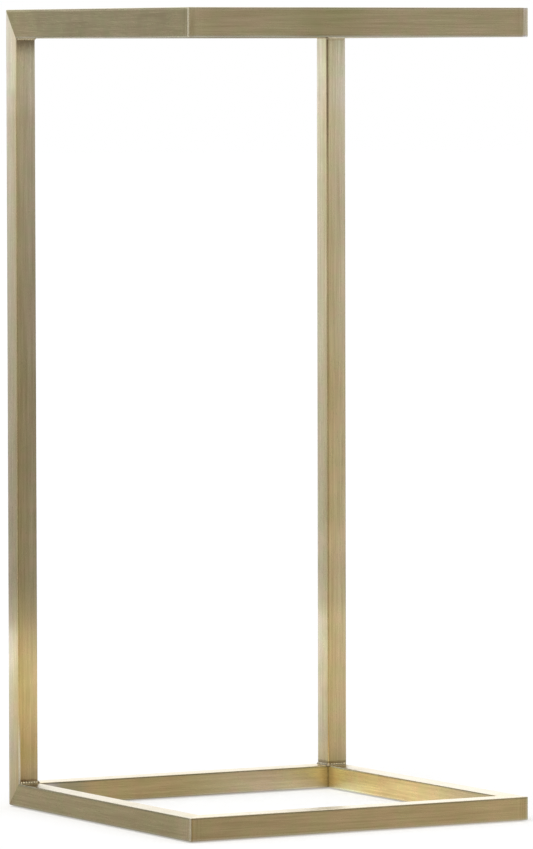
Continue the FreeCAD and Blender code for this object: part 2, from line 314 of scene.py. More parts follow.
class BrassSettings(bpy.types.PropertyGroup):
    """Finish of the brushed tubes."""
    hollow: factor_field("Hollow", "in the hollows of the brushing", (0.82, 0.80, 0.74))
    crest: factor_field("Crest", "on the crests of the brushing", (1.16, 1.18, 1.22))
    # painted sheen: paler brass standing in for bright reflections at the heads of the posts and in bands
    painted_sheen: colour_field("Painted Sheen", "Brass at the heads of the posts", (0.90, 0.84, 0.66))
    # painted gold reflection low on the posts' inner faces
    painted_gold_reflection: colour_field(
        "Painted Gold Reflection", "Brass at the feet of the posts, on the faces toward the middle", (0.80, 0.60, 0.27))
    # colour of the painted highlights on edges and corners
    painted_highlight: colour_field("Painted Highlight Edge", "Brass where the corners are rubbed bright", (0.95, 0.88, 0.68))
    # painted cool reflection along the long edges of the rails
    edge_reflection: factor_field("Painted Cool Reflection Edge", "along the long edges of the rails", (0.88, 0.96, 1.22))
    # painted shade on the upper edges of the base rails
    upper_edge_shade: factor_field("Shadowed Edge", "at the upper edges of the base rails", (0.66, 0.72, 0.78))
    # painted reflection of the floor, low on the sides of the posts
    floor_reflection: factor_field("Painted Floor Reflection", "on the sides of the posts at the floor", (1.26, 1.24, 1.10))
    shaded: factor_field("Shaded Edge", "along the unrubbed edges of the posts", (0.86, 0.84, 0.80))
    # painted sheen on the upper edges of the top rails
    upper_edge_sheen: factor_field("Lit Edge", "at the upper edges of the top rails", (1.15, 1.22, 1.45))
    # painted gold glow, standing in for a reflection, beside the inner back corners of the base
    corner_glow_colour: colour_field("Painted Glow", "Gold beside the inner back corners of the base", (1.0, 0.82, 0.42))
    greener: factor_field("Greener Cloud", "in the greener clouds", (0.965, 1.015, 0.97))
    redder: factor_field("Redder Cloud", "in the redder clouds", (1.03, 0.985, 1.02))
    # painted pale reflection on the upward faces of the base rails
    top_reflection: colour_field("Painted Reflection On Top", "Brass of the upward faces of the base", (0.95, 0.87, 0.69))
    # painted shade: the brown painted in creases and corners, beside the welds and in the beads' valleys; it
    # also draws the dark line along each post's inner corner
    painted_shade_brown: colour_field("Painted Shade", "Brown left in creases and beside the welds", (0.16, 0.10, 0.05))
    # painted light: warm light and cool light across the posts; the warm light also paints a warm reflection
    # low on their inner faces
    warm_light: factor_field("Warm Light End", "at the warm end of a tube", (0.96, 0.93, 0.80))
    cool_light: factor_field("Cool Light End", "at the cool end of a tube", (1.05, 1.08, 1.20))
    plain: colour_field("Plain", "Brass of the ledge bars", (0.62, 0.52, 0.31))
    melted: colour_field("Melted", "Bright brass on the ripples of the beads", (0.66, 0.58, 0.40))
    roughness: share_field("Roughness", "Mean roughness of the brushed faces", 0.29)
    anisotropy: share_field(
        "Anisotropy", "How far the brushing draws highlights out across the grain", 0.85)
    lacquer: share_field("Lacquer", "Weight of the clear lacquer", 0.05)
    lacquer_roughness: share_field("Lacquer Roughness", "Roughness of the clear lacquer", 0.22)
    streak_width: length_field("Streak Width", "Width of a streak of the brushing", 0.0016)
    streak_length: length_field("Streak Length", "Length of a streak of the brushing", 0.070)
    post_edge: length_field(
        "Post Edge", "How far the rubbing reaches from the long edges of a post", 0.0014)
    rail_edge: length_field(
        "Rail Edge", "How far the dulling reaches from the long edges of a rail", 0.0026)


class WeldSettings(bpy.types.PropertyGroup):
    """Beads at the posts and under the ledges."""
    pitch: length_field("Ripple Pitch", "Distance from one ripple of a bead to the next", 0.0026)
    ripple: length_field("Ripple Height", "Height of a ripple", 0.00034)
    crown: share_field("Crown", "How far the middle of a bead stands out, as a share of its leg", 0.16)


class TrimSettings(bpy.types.PropertyGroup):
    """The pane, the clear bumpers and the glides."""
    tint: colour_field("Tint", "Colour of the pane seen through its faces", (0.955, 0.985, 0.975))
    edge_tint: colour_field("Edge Tint", "Colour of the pane at its ground edges", (0.52, 0.78, 0.68))
    pane_shadow: colour_field("Pane Shadow", "Light that passes the pane", (0.90, 0.94, 0.92))
    gel: colour_field("Gel", "Colour of the bumpers", (0.93, 0.94, 0.93))
    cloudy_gel: colour_field("Cloudy Gel", "Colour of the bumpers where cloudy", (0.85, 0.86, 0.85))
    gel_shadow: colour_field("Gel Shadow", "Light that passes the bumpers", (0.9, 0.9, 0.9))
    nylon: colour_field("Nylon", "Colour of the glides", (0.80, 0.79, 0.75))
    darker_nylon: colour_field("Darker Nylon", "Colour of the glides where darker", (0.74, 0.73, 0.69))
    scuffed: colour_field("Scuffed", "Colour of the glides where scuffed", (0.42, 0.40, 0.37))


class StudioSettings(bpy.types.PropertyGroup):
    """Camera, lamps and background."""
    lens: FloatProperty(
        name="Lens", description="Focal length", subtype="DISTANCE_CAMERA", unit="CAMERA",
        min=1, default=290.4)
    camera_azimuth: FloatProperty(
        name="Camera Azimuth", description="Turn of the camera round the table, from the open front",
        subtype="ANGLE", default=math.radians(-29.344))
    camera_distance: length_field(
        "Camera Distance", "Level distance from the camera to the table", 5.8985)
    camera_height: length_field("Camera Height", "Height of the camera above the floor", 0.655)
    ambient: FloatProperty(
        name="Ambient", description="Strength of the even light on matt surfaces", min=0, default=0.70)
    ceiling: brightness_field("Ceiling", "the ceiling", 0.32)
    overhead: brightness_field("Overhead", "the lit ceiling right above the table", 1.0)
    backdrop: brightness_field("Backdrop", "the backdrop behind the table", 1.24)
    pale_wall: brightness_field("Pale Wall", "the wall at the left", 1.15)
    dim_wall: brightness_field("Dim Wall", "the wall behind the camera", 0.75)
    inner_floor: brightness_field("Inner Floor", "the floor inside the base", 1.25)
    strip: brightness_field("Strip", "a strip of the floor behind, at the left", 1.50)
    near_floor: brightness_field("Near Floor", "the floor just round the base", 0.45)
    pale_floor: brightness_field("Pale Floor", "the far floor at the left", 0.50)
    dim_floor: brightness_field("Dim Floor", "the far floor behind the camera", 0.42)
    pale_tint: colour_field("Pale Tint", "Colour in reflections of the wall at the left", (0.97, 0.98, 1.0))
    dim_tint: colour_field(
        "Dim Tint", "Colour in reflections of the wall behind the camera", (1.0, 0.95, 0.84))


# ---- shader node helpers
def fill(socket, value):
    """Join another node's output to a socket, or give it a plain value. A colour gets full alpha."""
    if isinstance(value, bpy.types.NodeSocket):
        socket.id_data.links.new(value, socket)
    elif socket.type == "RGBA" and len(value) == 3:
        socket.default_value = (*value, 1.0)
    else:
        socket.default_value = value


def add(tree, kind, inputs=None, **settings):
    """A new node with its settings and inputs."""
    made = tree.nodes.new(kind)
    for name, value in settings.items():
        setattr(made, name, value)
    for key, value in (inputs or {}).items():
        fill(made.inputs[key], value)
    return made


def tree_of(values):
    """The node tree of the sockets among some values."""
    return next(value.id_data for value in values if isinstance(value, bpy.types.NodeSocket))


def maths(operation, *values):
    """The output of a Math node."""
    return add(tree_of(values), "ShaderNodeMath", dict(enumerate(values)), operation=operation).outputs[0]


def times(first, second):
    """The product of two values."""
    return maths("MULTIPLY", first, second)


def larger(first, second):
    """The larger of two values."""
    return maths("MAXIMUM", first, second)


def flipped(mask):
    """A mask turned over."""
    return maths("SUBTRACT", 1.0, mask)


def scaled(value, by, onto):
    """A value times a factor, added onto another."""
    return maths("MULTIPLY_ADD", value, by, onto)


def vector_maths(operation, *values):
    """The output of a Vector Math node."""
    made = add(tree_of(values), "ShaderNodeVectorMath", dict(enumerate(values)), operation=operation)
    return made.outputs["Value" if operation in ("LENGTH", "DOT_PRODUCT") else "Vector"]


def separate(vector):
    """The X, Y and Z of a vector."""
    return add(vector.id_data, "ShaderNodeSeparateXYZ", {0: vector}).outputs


def ramp(value, low, high, start=0.0, end=1.0, smooth=True):
    """A value mapped from one range to another and held at its ends."""
    made = add(
        value.id_data, "ShaderNodeMapRange",
        {"Value": value, "From Min": low, "From Max": high, "To Min": start, "To Max": end},
        interpolation_type="SMOOTHSTEP" if smooth else "LINEAR", clamp=True)
    return made.outputs["Result"]


def between(value, bands, name):
    """A mask that rises over the band NAME_from and falls over the band NAME_to."""
    return times(ramp(value, *bands[f"{name}_from"]), ramp(value, *bands[f"{name}_to"]))


def blend(share, first, second, mode="MIX"):
    """A mix of two colours."""
    values = {0: share, 6: first, 7: second}
    made = add(tree_of(values.values()), "ShaderNodeMix", values, data_type="RGBA", blend_type=mode)
    return made.outputs[2]


def tinted(colour, tint, share=1.0):
    """A colour multiplied by another."""
    return blend(share, colour, tint, "MULTIPLY")


def speckle(vector, scale, detail, roughness=0.5):
    """The value of a Noise Texture."""
    return add(vector.id_data, "ShaderNodeTexNoise", {
        "Vector": vector, "Scale": scale, "Detail": detail, "Roughness": roughness}).outputs[0]


def relief(height, strength, depth):
    """The normal of a Bump node."""
    return add(height.id_data, "ShaderNodeBump", {
        "Height": height, "Strength": strength, "Distance": depth}).outputs[0]


def empty_tree(owner):
    """The node tree of a new material or world, with nothing in it."""
    owner.use_nodes = True
    owner.node_tree.nodes.clear()
    return owner.node_tree


# ---- shared effects
# Values of noise between which each effect goes from none to all.
CONTRASTS = {"brushing": (0.30, 0.70), "cloud": (0.32, 0.68), "haze": (0.45, 0.75)}
HAZE_FINENESS = 6.0  # how much finer haze is than cloud
NOISE_MEAN = 0.5
EDGE_CORE, RIM_CORE = 0.25, 0.5  # share of an edge's width that is wholly masked
PAST_ENDS = 1.0  # how far the box of a tube is drawn out


def new_group(name, vectors, values, masks):
    """An empty node group, what its input node gives and what its output node takes."""
    tree = bpy.data.node_groups.new(name, "ShaderNodeTree")
    for label in vectors:
        tree.interface.new_socket(label, in_out="INPUT", socket_type="NodeSocketVector")
    for label in values:
        tree.interface.new_socket(label, in_out="INPUT", socket_type="NodeSocketFloat")
    for label in masks:
        tree.interface.new_socket(label, in_out="OUTPUT", socket_type="NodeSocketFloat")
    return tree, tree.nodes.new("NodeGroupInput").outputs, tree.nodes.new("NodeGroupOutput").inputs


def place_group(name, build, inputs):
    """The outputs of a node group placed in a material. The group is built the first time."""
    group = bpy.data.node_groups.get(name) or build(name)
    made = add(tree_of(inputs.values()), "ShaderNodeGroup", node_tree=group)
    for key, value in inputs.items():
        fill(made.inputs[key], value)
    return made.outputs


def build_grain(name):
    """Brushing: broad streaks, fine hairlines, and their relief."""
    tree, given, out = new_group(
        name, ("Coordinates", "Frequency"), ("Seed",), ("Streaks", "Hairlines", "Relief"))
    stretched = vector_maths("MULTIPLY", given["Coordinates"], given["Frequency"])
    shifted = vector_maths("ADD", stretched, given["Seed"])
    broad = speckle(shifted, scale=1.0, detail=3.0, roughness=0.6)
    fine = speckle(shifted, scale=3.7, detail=2.0, roughness=0.7)
    streaks = ramp(broad, *CONTRASTS["brushing"], smooth=False)
    hairlines = ramp(fine, *CONTRASTS["brushing"], smooth=False)
    fill(out["Streaks"], streaks)
    fill(out["Hairlines"], hairlines)
    fill(out["Relief"], scaled(hairlines, by=0.6, onto=times(streaks, 0.4)))
    return tree


def brushing(coordinates, axis, width, length, seed):
    """Brushing whose grain runs along an axis, from streaks of one width and length."""
    frequency = tuple(1 / length if a == axis else 1 / width for a in range(3))
    return place_group("brushed_grain", build_grain, {
        "Coordinates": coordinates, "Frequency": frequency, "Seed": seed})


def build_clouding(name):
    """Slow change of tone over a surface, with a little handling haze."""
    tree, given, out = new_group(name, ("Coordinates",), ("Scale", "Seed"), ("Cloud", "Haze"))
    shifted = vector_maths("ADD", given["Coordinates"], given["Seed"])
    slow = speckle(shifted, given["Scale"], detail=2.0)
    fast = speckle(shifted, times(given["Scale"], HAZE_FINENESS), detail=4.0)
    fill(out["Cloud"], ramp(slow, *CONTRASTS["cloud"]))
    fill(out["Haze"], ramp(fast, *CONTRASTS["haze"]))
    return tree


def clouding(coordinates, scale, seed):
    """Clouds and haze at a scale."""
    return place_group("clouding", build_clouding, {
        "Coordinates": coordinates, "Scale": scale, "Seed": seed})


def build_box_edges(name):
    """Masks from the box round a piece: its edges, near two faces at once, and its upright rim."""
    tree, given, out = new_group(
        name, ("Coordinates", "Centre", "Half Size"), ("Width",), ("Edge", "Rim"))
    offset = vector_maths("ABSOLUTE", vector_maths("SUBTRACT", given["Coordinates"], given["Centre"]))
    x, y, z = separate(vector_maths("SUBTRACT", given["Half Size"], offset))
    near = maths("MINIMUM", x, y)
    second = larger(near, maths("MINIMUM", larger(x, y), z))
    fill(out["Edge"], ramp(maths("DIVIDE", second, given["Width"]), EDGE_CORE, 1.0, 1.0, 0.0))
    fill(out["Rim"], ramp(maths("DIVIDE", near, given["Width"]), RIM_CORE, 1.0, 1.0, 0.0))
    return tree


def box_edges(coordinates, low, high, width, endless=None):
    """Edge and rim of a box. Along its endless axis it is drawn out, so that its ends have no edges."""
    half_size = (high - low) / 2
    if endless is not None:
        half_size[endless] += PAST_ENDS
    return place_group("box_edges", build_box_edges, {
        "Coordinates": coordinates, "Centre": (low + high) / 2, "Half Size": half_size, "Width": width})


def build_near_place(name):
    """Mask round a place: a point, or a line where a weight is 0. It is mirrored in X and Y."""
    tree, given, out = new_group(
        name, ("Coordinates", "Place", "Weights"), ("Reach", "Ragged"), ("Mask",))
    mirrored = vector_maths("ABSOLUTE", given["Coordinates"])
    offset = vector_maths("MULTIPLY", vector_maths("SUBTRACT", mirrored, given["Place"]), given["Weights"])
    distance = maths("DIVIDE", vector_maths("LENGTH", offset), given["Reach"])
    cloud = speckle(given["Coordinates"], scale=420.0, detail=2.0)
    ragged = times(maths("SUBTRACT", cloud, NOISE_MEAN), given["Ragged"])
    fill(out["Mask"], ramp(maths("ADD", distance, ragged), 0.0, 1.0, 1.0, 0.0))
    return tree


def inward_mask(across, inner):
    """Mask of the face toward the middle of the table, from the coordinate across it."""
    return ramp(maths("ABSOLUTE", across), inner + FACE_FADE[0], inner + FACE_FADE[1], 1.0, 0.0)


# ---- materials
class Finish:
    """A new material, with its shader and the coordinates of its surface."""

    def __init__(self, name):
        self.material = bpy.data.materials.new(name)
        self.tree = empty_tree(self.material)
        self.shader = add(self.tree, "ShaderNodeBsdfPrincipled")
        self.surface = add(self.tree, "ShaderNodeOutputMaterial", {"Surface": self.shader.outputs[0]})
        self.coordinates = add(self.tree, "ShaderNodeTexCoord").outputs["Object"]

    def finished(self, inputs):
        """The material, once the inputs of its shader are filled."""
        for name, value in inputs.items():
            fill(self.shader.inputs[name], value)
        return self.material

    def pass_lamps(self, tint):
        """Let lamps shine through a clear piece, so that it casts a pale shadow."""
        path = add(self.tree, "ShaderNodeLightPath")
        clear = add(self.tree, "ShaderNodeBsdfTransparent", {"Color": tint})
        mixed = add(self.tree, "ShaderNodeMixShader", {
            0: path.outputs["Is Shadow Ray"], 1: self.shader.outputs[0], 2: clear.outputs[0]})
        fill(self.surface.inputs["Surface"], mixed.outputs[0])


class TubeFinish(Finish):
    """Brass of one tube while it is being made, and where on the tube a point lies."""

    def __init__(self, name):
        super().__init__(f"brushed_brass_{name}")
        self.name = name
        self.brass = bpy.context.scene.table_brass
        self.axis, self.outward_tone, self.inward_reflection_tone = TUBES[name]
        self.low, self.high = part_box(name)
        self.seed = float(list(TUBES).index(name) * SEED_STEP)
        self.x, self.y, self.height = separate(self.coordinates)
        if self.axis == Y_AXIS:
            self.inward = inward_mask(self.x, inner_half_width)
        else:
            self.inward = inward_mask(self.y, post_front)
        self.outward = flipped(self.inward)

    def band(self, name, *strengths):
        """The mask of one of the bands of height."""
        return ramp(self.height, *HEIGHTS[name], *strengths)

    def mark(self, name, place, weights):
        """The mask of one of the marks."""
        reach, ragged = MARKS[name]
        return place_group("near_place", build_near_place, {
            "Coordinates": self.coordinates, "Place": place, "Weights": weights, "Reach": reach,
            "Ragged": ragged})["Mask"]

    def corner_mark(self, name, x, y):
        """A mark along an upright line at each corner."""
        return self.mark(name, (x, y, 0), (1, 1, 0))

    def level_mark(self, name, z):
        """A mark at one height."""
        return self.mark(name, (0, 0, z), (0, 0, 1))


def post_tone(tube, colour):
    """Tone of a post, with painted light: a pale painted sheen at the head and in bands, painted gold
    reflection and painted shade at the foot, a band of painted shade above, and a warmer, lighter painted
    reflection beside the floor.
    """
    brass, post = tube.brass, POSTS[tube.name]
    foot = tube.band("foot")
    golden_side = ramp(tube.y, half_depth, post_front, 0.0, STRENGTHS["side_gold_reflection"])
    painted_gold_reflection = times(foot, tube.band("off_floor"))
    painted_gold_reflection = times(times(painted_gold_reflection, larger(tube.inward, golden_side)), post["painted_gold_reflection"])
    sheen_band = maths("ADD", tube.band("sheen_band"), tube.band("head_sheen_band"))
    front_sheen_band = times(tube.band("front_sheen_band"), tube.inward)
    side_sheen_band = times(times(between(tube.height, HEIGHTS, "pale"), STRENGTHS["side_sheen_band"]), tube.outward)
    sheen_band = maths("MINIMUM", maths("ADD", sheen_band, maths("ADD", front_sheen_band, side_sheen_band)), 1.0)
    shown = ramp(tube.inward, 0, 1, STRENGTHS["outer_sheen_band"], post["painted_sheen"])
    colour = blend(times(sheen_band, shown), colour, brass.painted_sheen)
    colour = blend(painted_gold_reflection, colour, brass.painted_gold_reflection)
    colour = blend(times(foot, post["shaded"]), colour, BLACK)
    colour = blend(times(between(tube.height, HEIGHTS, "calm"), post["calm"]), colour, BLACK)
    warm_reflection = times(times(tube.band("warm_reflection"), tube.inward), STRENGTHS["warm_reflection_share"])
    colour = tinted(colour, brass.warm_light, warm_reflection)
    return tinted(colour, brass.floor_reflection, times(tube.band("floor_reflection"), tube.outward))


def paint_light_across(tube, colour):
    """Painted light across a post: a slow change from warm light at its front and outer edges to cool light
    at the others.
    """
    along_x = ramp(tube.x, tube.low.x, tube.high.x, smooth=False)
    along_y = ramp(tube.y, tube.low.y, tube.high.y, smooth=False)
    share = blend(tube.inward, along_y, along_x)
    return tinted(colour, blend(share, tube.brass.warm_light, tube.brass.cool_light))


def paint_light_along(tube, colour):
    """Painted reflections and shade along a rail, where its tone changes along its length."""
    along = tube.x if tube.axis == X_AXIS else tube.y
    for is_inner, start, end, tone in LIGHT_ALONG_RAILS.get(tube.name, ()):
        share = times(ramp(along, start, end), tube.inward if is_inner else tube.outward)
        colour = blend(share, colour, tone)
    return colour


def tarnished(tube, colour):
    """Thin clouds under the lacquer, some greener and some redder than the brass."""
    hue = clouding(tube.coordinates, scale=70.0, seed=tube.seed + 40.0)["Cloud"]
    return tinted(colour, blend(hue, tube.brass.greener, tube.brass.redder))


def turned_grain(tube, tone):
    """Brushing of a rail, crossed by upright strokes close to the corners where the weld was dressed."""
    cross = brushing(tube.coordinates, Z_AXIS, width=0.0022, length=0.05, seed=tube.seed)["Streaks"]
    strokes = scaled(cross, by=STROKE_CONTRAST, onto=(1 - STROKE_CONTRAST) / 2)
    turned = tube.corner_mark("turned", half_width, half_depth)
    return scaled(turned, by=maths("SUBTRACT", strokes, tone), onto=tone)


def painted_weld_shade(tube, colour):
    """Painted shade on a post beside its beads: a band at each bead, under the top frame and above the base,
    and a ragged line just above the foot's bead.
    """
    post = POSTS[tube.name]
    beside = larger(tube.inward, inward_mask(tube.x, inner_half_width))
    head_shade_mark = times(tube.level_mark("head_shade_mark", top_frame_bottom), post["head_shade"])
    foot_shade_mark = times(tube.level_mark("foot_shade_mark", base_top), post["foot_shade"])
    # a ragged line of painted shade just above the foot's bead
    line = times(tube.level_mark("line", foot_bead_top + LINE_RISE), post["line_shade"])
    weld_shade = times(larger(larger(head_shade_mark, foot_shade_mark), line), beside)
    return blend(weld_shade, colour, tube.brass.painted_shade_brown)


def post_edges(tube, colour, edge):
    """Long edges of a post: painted shade along them, a painted highlight at its two ends and low on its
    front outer edge, and the dark line along its inner corner.
    """
    brass, post = tube.brass, POSTS[tube.name]
    ends = larger(tube.band("highlight_foot"), tube.band("highlight_head"))
    painted_highlight = times(edge, times(ends, post["painted_highlight"]))
    colour = tinted(colour, brass.shaded, maths("SUBTRACT", edge, painted_highlight))
    colour = blend(painted_highlight, colour, brass.painted_highlight)
    # a painted highlight low on the front outer edge
    outer = tube.corner_mark("glint", half_width - GLINT_INSET, post_front)
    low = tube.band("glint", 0.0, post["glint"])
    colour = blend(times(outer, low), colour, brass.painted_highlight)
    dark_edge_line = times(tube.corner_mark("dark_edge_line", inner_half_width, post_front), STRENGTHS["dark_edge_line"])
    fading = maths("ADD", tube.band("faint_edge_line"), tube.band("strong_edge_line"))
    shown = times(maths("MINIMUM", dark_edge_line, 1.0), times(fading, post["dark_edge_line"]))
    return blend(shown, colour, brass.painted_shade_brown)


def rail_edges(tube, colour, edge):
    """Long edges of a rail with painted light on them, the upward faces of the base with a painted pale
    reflection, and the corners where rails meet, with a painted glow, painted shade and a painted highlight.
    """
    brass, top = tube.brass, tube.high.z
    is_base = tube.name.startswith("base")
    kind = "base" if is_base else "top_side" if tube.axis == Y_AXIS else "top_end"
    middle = (tube.low.z + top) / 2
    upper = times(edge, ramp(tube.height, middle, middle + MM))
    upper_tint = brass.upper_edge_shade if is_base else Vector(brass.upper_edge_sheen) * UPPER_EDGE_SHEEN[kind]
    colour = tinted(colour, Vector(brass.edge_reflection) * EDGE_REFLECTION[kind], maths("SUBTRACT", edge, upper))
    colour = tinted(colour, upper_tint, upper)
    upward = ramp(tube.height, top - FACE_FADE[1], top - FACE_FADE[0])
    if is_base:
        colour = blend(times(upward, TOP_REFLECTION[tube.name]), colour, brass.top_reflection)
    inner_corner = (inner_half_width, post_front)
    # painted gold glow and painted shade at the inner corners, and a painted highlight at the outer ones
    glow = tube.corner_mark("glow", *inner_corner)
    corner_shade = times(tube.corner_mark("corner_shade", *inner_corner), flipped(upward))
    crease_shade = tube.corner_mark("crease_shade", *inner_corner)
    corner = tube.corner_mark("corner", half_width, half_depth)
    colour = blend(times(glow, STRENGTHS["glow"]), colour, brass.corner_glow_colour)
    colour = blend(times(corner_shade, STRENGTHS["corner_shade"]), colour, brass.painted_shade_brown)
    colour = blend(times(crease_shade, STRENGTHS["crease_shade"]), colour, brass.painted_shade_brown)
    return blend(times(corner, CORNER_HIGHLIGHT[kind]), colour, brass.painted_highlight)


def brushed_brass(name):
    """Brushed and lacquered brass for one tube, with its grain along the tube."""
    tube = TubeFinish(name)
    brass = tube.brass
    is_post = tube.axis == Z_AXIS
    width = brass.post_edge if is_post else brass.rail_edge
    edge = box_edges(tube.coordinates, tube.low, tube.high, width, endless=tube.axis)["Edge"]
    cloud = clouding(tube.coordinates, scale=9.0, seed=tube.seed)
    grain = brushing(tube.coordinates, tube.axis, brass.streak_width, brass.streak_length, tube.seed)
    tone = scaled(grain["Streaks"], by=STREAK_SHARE, onto=times(cloud["Cloud"], 1 - STREAK_SHARE))
    if not is_post:
        tone = turned_grain(tube, tone)
    # the face toward the middle takes its tone with painted reflection in it
    colour = blend(tube.inward, tube.outward_tone, tube.inward_reflection_tone)
    if is_post:
        colour = paint_light_across(tube, post_tone(tube, colour))
    colour = paint_light_along(tube, colour)
    colour = tinted(colour, blend(tone, brass.hollow, brass.crest))
    colour = tarnished(tube, colour)
    if is_post:
        colour = post_edges(tube, painted_weld_shade(tube, colour), edge)
    else:
        colour = rail_edges(tube, colour, edge)
    rough = brass.roughness - HAIRLINE_ROUGHNESS / 2
    rough = scaled(grain["Hairlines"], by=HAIRLINE_ROUGHNESS, onto=rough)
    rough = scaled(cloud["Haze"], by=HAZE_ROUGHNESS, onto=rough)
    tangent = add(tube.tree, "ShaderNodeTangent", direction_type="RADIAL", axis=AXIS_NAMES[tube.axis])
    return tube.finished({
        "Base Color": colour, "Metallic": 1.0, "Roughness": scaled(edge, by=-EDGE_POLISH, onto=rough),
        "Anisotropic": brass.anisotropy, "Tangent": tangent.outputs[0],
        "Coat Weight": brass.lacquer, "Coat Roughness": brass.lacquer_roughness,
        "Normal": relief(grain["Relief"], strength=0.25, depth=0.02 * MM)})


def weld_brass():
    """Brass of the beads: bright on the ripples, with painted shade in the valleys between them and at the
    toes.
    """
    brass = bpy.context.scene.table_brass
    finish = Finish("weld_bead_brass")
    cloud = clouding(finish.coordinates, scale=180.0, seed=3.0)
    bead_shade = add(finish.tree, "ShaderNodeAttribute", attribute_name=BEAD_SHADE_ATTRIBUTE).outputs["Fac"]
    colour = blend(times(cloud["Cloud"], 0.35), brass.melted, brass.plain)
    fleck = speckle(finish.coordinates, scale=2500.0, detail=2.0)
    return finish.finished({
        "Base Color": blend(bead_shade, colour, brass.painted_shade_brown), "Metallic": 1.0,
        "Roughness": scaled(cloud["Haze"], by=0.12, onto=scaled(bead_shade, by=0.15, onto=0.24)),
        "Coat Weight": brass.lacquer, "Coat Roughness": brass.lacquer_roughness,
        "Normal": relief(fleck, strength=0.3, depth=0.04 * MM)})


def bar_brass(name, axis):
    """Satin brass of a ledge bar, drawn along its length."""
    brass = bpy.context.scene.table_brass
    finish = Finish(name)
    grain = brushing(finish.coordinates, axis, width=0.0008, length=0.12, seed=31.0)
    cloud = clouding(finish.coordinates, scale=25.0, seed=9.0)
    tone = scaled(grain["Streaks"], by=0.4, onto=times(cloud["Cloud"], 0.4))
    brushed = blend(tone, brass.hollow, brass.crest)
    return finish.finished({
        "Base Color": tinted(brass.plain, brushed), "Metallic": 1.0,
        "Roughness": scaled(cloud["Haze"], by=0.12, onto=0.34),
        "Normal": relief(grain["Relief"], strength=0.2, depth=0.03 * MM)})


def pane_glass():
    """Float glass, greener at the ground edges, with a breath of dust."""
    trim = bpy.context.scene.table_trim
    finish = Finish("pane_glass")
    rim = box_edges(finish.coordinates, *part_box("glass_pane"), width=0.8 * MM)["Rim"]
    haze = clouding(finish.coordinates, scale=14.0, seed=5.0)["Haze"]
    finish.pass_lamps(trim.pane_shadow)
    return finish.finished({
        "Base Color": blend(rim, trim.tint, trim.edge_tint), "IOR": 1.5, "Transmission Weight": 1.0,
        "Roughness": scaled(haze, by=0.03, onto=times(rim, 0.5))})


def bumper_gel():
    """Soft clear plastic of the bumpers, a little cloudy."""
    trim = bpy.context.scene.table_trim
    finish = Finish("bumper_gel")
    haze = clouding(finish.coordinates, scale=260.0, seed=2.0)["Haze"]
    finish.pass_lamps(trim.gel_shadow)
    return finish.finished({
        "Base Color": blend(haze, trim.gel, trim.cloudy_gel), "IOR": 1.49, "Transmission Weight": 0.5,
        "Roughness": scaled(haze, by=0.15, onto=0.12)})


def glide_nylon():
    """Milky moulded nylon, scuffed where it meets the floor."""
    trim = bpy.context.scene.table_trim
    finish = Finish("glide_nylon")
    cloud = clouding(finish.coordinates, scale=220.0, seed=4.0)
    near_floor = ramp(separate(finish.coordinates)[Z_AXIS], 0.0, 0.5 * MM, 1.0, 0.0)
    scuff = times(near_floor, cloud["Haze"])
    colour = blend(cloud["Cloud"], trim.nylon, trim.darker_nylon)
    fleck = speckle(finish.coordinates, scale=3500.0, detail=2.0)
    return finish.finished({
        "Base Color": blend(scuff, colour, trim.scuffed), "Roughness": scaled(scuff, by=0.3, onto=0.42),
        "Normal": relief(fleck, strength=0.25, depth=0.03 * MM)})


# ---- meshes
def mesh_object(name, bm, material):
    """An object in the scene from a finished mesh."""
    mesh = bpy.data.meshes.new(name)
    bm.to_mesh(mesh)
    bm.free()
    mesh.materials.append(material)
    made = bpy.data.objects.new(name, mesh)
    bpy.context.scene.collection.objects.link(made)
    return made


def new_piece(name, bm, material, node_name):
    """A piece of the table, in place of its plain node."""
    bmesh.ops.recalc_face_normals(bm, faces=bm.faces)
    piece = mesh_object(name, bm, material)
    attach(piece, BODY)
    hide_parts(node_name)


def set_material(node_name, material):
    """Put one material on a node of the packed model."""
    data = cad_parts[node_name].data
    for index in range(len(data.materials)):
        data.materials[index] = material


def seam_stations(points, step):
    """Evenly spaced places along a polyline, with how far along each one lies, and its length."""
    stations, start = [], 0.0
    for first, second in zip(points, points[1:]):
        run = second - first
        count = max(1, round(run.length / step))
        stations += [(first + run * i / count, start + run.length * i / count) for i in range(count)]
        start += run.length
    return stations + [(points[-1], start)], start


def bead_profile(leg, ripple, along, painted_shade):
    """The outside of a bead in one cut, from toe to toe, and how much painted shade each point of it takes.
    """
    welds = bpy.context.scene.table_welds
    points = []
    for i in range(PROFILE_STEPS + 1):
        t = i / PROFILE_STEPS
        swell = math.sin(math.pi * t)
        phase = (along / welds.pitch + CURL * (2 * t - 1) ** 2) % 1.0
        scallop = math.sqrt(max(0.0, 1 - (2 * phase - 1) ** 2))
        lift = (leg * welds.crown + ripple * (scallop - MEAN_SCALLOP)) * swell ** CROWN_POWER
        shaded_side = min(1.0, max(0.0, (t - SHADED_SIDE_FROM - SHADED_SIDE_FADE * scallop) / SHADED_SIDE_FADE))
        toe = (1 - min(1.0, swell / TOE_WIDTH)) * (1.0 if t > 0.5 else NEAR_TOE)
        a = leg * (1 - t) + lift * math.sqrt(0.5)
        b = leg * t + lift * math.sqrt(0.5)
        points.append((a, b, painted_shade * max(VALLEY_SHADE * (1 - scallop), TOE_SHADE * toe ** 2, shaded_side)))
    return points


